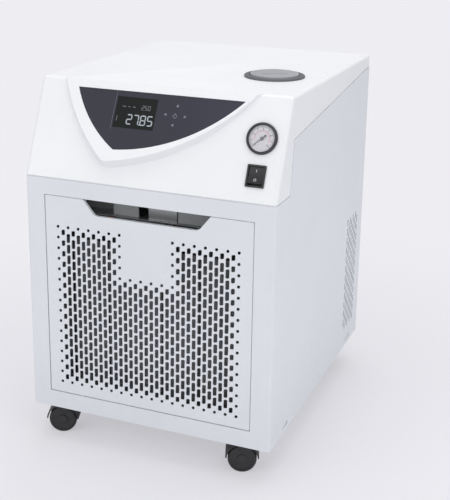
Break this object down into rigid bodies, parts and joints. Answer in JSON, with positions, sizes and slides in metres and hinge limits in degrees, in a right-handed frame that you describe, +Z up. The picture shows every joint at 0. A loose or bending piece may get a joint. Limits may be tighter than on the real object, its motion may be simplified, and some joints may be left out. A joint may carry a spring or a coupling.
{
  "type": "recirculating chiller",
  "caption": "Floor-standing recirculating chiller on castors with a perforated front, a sloping fascia with display, gauge and rocker switch, and a filler lid on top.",
  "frame": {"origin": "bottom centre of the whole part's box, on the floor", "axes": "+X to the right seen from the front, +Y to the rear, +Z up"},
  "size_m": [0.45, 0.58, 0.656],
  "materials": {
    "cabinet_paint": "satin powder coat",
    "hood_plastic": "fine satin moulding",
    "dark_plastic": "matt",
    "plain_steel": "brushed",
    "condenser_metal": "dusty fins",
    "dark_metal": "black paint",
    "rubber": "matt",
    "pump_metal": "grey paint",
    "grey_plastic": "matt",
    "hose": "satin",
    "copper": "drawn copper",
    "panel_foil": "printed foil, satin",
    "display": "gloss",
    "bezel_metal": "polished",
    "dial_white": "printed white",
    "lens": "clear",
    "needle_black": "satin",
    "switch_black": "satin",
    "collar_grey": "matt",
    "cap_grey": "matt",
    "fitting_metal": "turned",
    "castor_steel": "zinc plate",
    "castor_plastic": "matt",
    "castor_tyre": "matt"
  },
  "bodies": {
    "cabinet": {"base_tray": "cabinet_paint", "front_frame": "cabinet_paint", "left_side_panel": "cabinet_paint", "right_side_panel": "cabinet_paint", "rear_panel": "cabinet_paint", "hood": "hood_plastic", "grille_magnets": "dark_plastic", "mid_deck": "plain_steel", "condenser": "condenser_metal", "fan_shroud": "dark_metal", "fan_motor": "dark_metal", "motor_bracket": "plain_steel", "compressor": "dark_metal", "compressor_grommets": "rubber", "pump": "pump_metal", "reservoir": "plain_steel", "heat_exchanger": "plain_steel", "control_box": "grey_plastic", "suction_hose": "hose", "outlet_hose": "hose", "discharge_line": "copper", "control_panel": "panel_foil", "display_window": "display", "display_module": "dark_plastic", "gauge_case": "bezel_metal", "gauge_dial": "dial_white", "gauge_lens": "lens", "switch_frame": "switch_black", "filler_collar": "collar_grey", "pump_outlet": "fitting_metal", "return_inlet": "fitting_metal", "drain_valve": "fitting_metal", "mains_inlet": "switch_black", "castor_plate_fl": "castor_steel", "castor_plate_fr": "castor_steel", "castor_plate_rl": "castor_steel", "castor_plate_rr": "castor_steel"},
    "grille": {"front_grille": "cabinet_paint"},
    "lid": {"filler_cap": "cap_grey"},
    "needle": {"gauge_needle": "needle_black"},
    "rocker": {"switch_rocker": "switch_black"},
    "fan": {"fan_rotor": "dark_plastic"},
    "drain_handle": {"drain_lever": "dark_plastic"},
    "swivel_fl": {"castor_housing_fl": "castor_plastic"},
    "wheels_fl": {"castor_wheels_fl": "castor_tyre"},
    "swivel_fr": {"castor_housing_fr": "castor_plastic"},
    "wheels_fr": {"castor_wheels_fr": "castor_tyre"},
    "swivel_rl": {"castor_housing_rl": "castor_plastic"},
    "wheels_rl": {"castor_wheels_rl": "castor_tyre"},
    "swivel_rr": {"castor_housing_rr": "castor_plastic"},
    "wheels_rr": {"castor_wheels_rr": "castor_tyre"}
  },
  "joints": [
    {"name": "grille_pull", "type": "slide", "parent": "cabinet", "child": "grille", "axis": [0, -1, 0], "range_m": [0, 0.08]},
    {"name": "lid_lift", "type": "slide", "parent": "cabinet", "child": "lid", "axis": [0, 0, 1], "range_m": [0, 0.06]},
    {"name": "needle_turn", "type": "hinge", "parent": "cabinet", "child": "needle", "pos_m": [0.184, -0.24968, 0.58569], "axis": [0, 0.9185, -0.3953], "range_deg": [0, 265], "stiffness_Nm_per_rad": 0.002},
    {"name": "rocker_tip", "type": "hinge", "parent": "cabinet", "child": "rocker", "pos_m": [0.1835, -0.2688, 0.5286], "axis": [1, 0, 0], "range_deg": [0, 18]},
    {"name": "fan_spin", "type": "hinge", "parent": "cabinet", "child": "fan", "pos_m": [0, -0.211, 0.229], "axis": [0, -1, 0], "continuous": true},
    {"name": "drain_turn", "type": "hinge", "parent": "cabinet", "child": "drain_handle", "pos_m": [0.15, 0.278, 0.12], "axis": [0, 0, 1], "range_deg": [0, 90]},
    {"name": "swivel_fl", "type": "hinge", "parent": "cabinet", "child": "swivel_fl", "pos_m": [-0.175, -0.238, 0.065], "axis": [0, 0, 1], "continuous": true},
    {"name": "roll_fl", "type": "hinge", "parent": "swivel_fl", "child": "wheels_fl", "pos_m": [-0.19004, -0.24347, 0.025], "axis": [0.342, -0.9397, 0], "continuous": true},
    {"name": "swivel_fr", "type": "hinge", "parent": "cabinet", "child": "swivel_fr", "pos_m": [0.175, -0.238, 0.065], "axis": [0, 0, 1], "continuous": true},
    {"name": "roll_fr", "type": "hinge", "parent": "swivel_fr", "child": "wheels_fr", "pos_m": [0.15996, -0.24347, 0.025], "axis": [0.342, -0.9397, 0], "continuous": true},
    {"name": "swivel_rl", "type": "hinge", "parent": "cabinet", "child": "swivel_rl", "pos_m": [-0.175, 0.21, 0.065], "axis": [0, 0, 1], "continuous": true},
    {"name": "roll_rl", "type": "hinge", "parent": "swivel_rl", "child": "wheels_rl", "pos_m": [-0.19004, 0.21547, 0.025], "axis": [-0.342, -0.9397, 0], "continuous": true},
    {"name": "swivel_rr", "type": "hinge", "parent": "cabinet", "child": "swivel_rr", "pos_m": [0.175, 0.21, 0.065], "axis": [0, 0, 1], "continuous": true},
    {"name": "roll_rr", "type": "hinge", "parent": "swivel_rr", "child": "wheels_rr", "pos_m": [0.1605, 0.20324, 0.025], "axis": [0.4226, -0.9063, 0], "continuous": true}
  ]
}
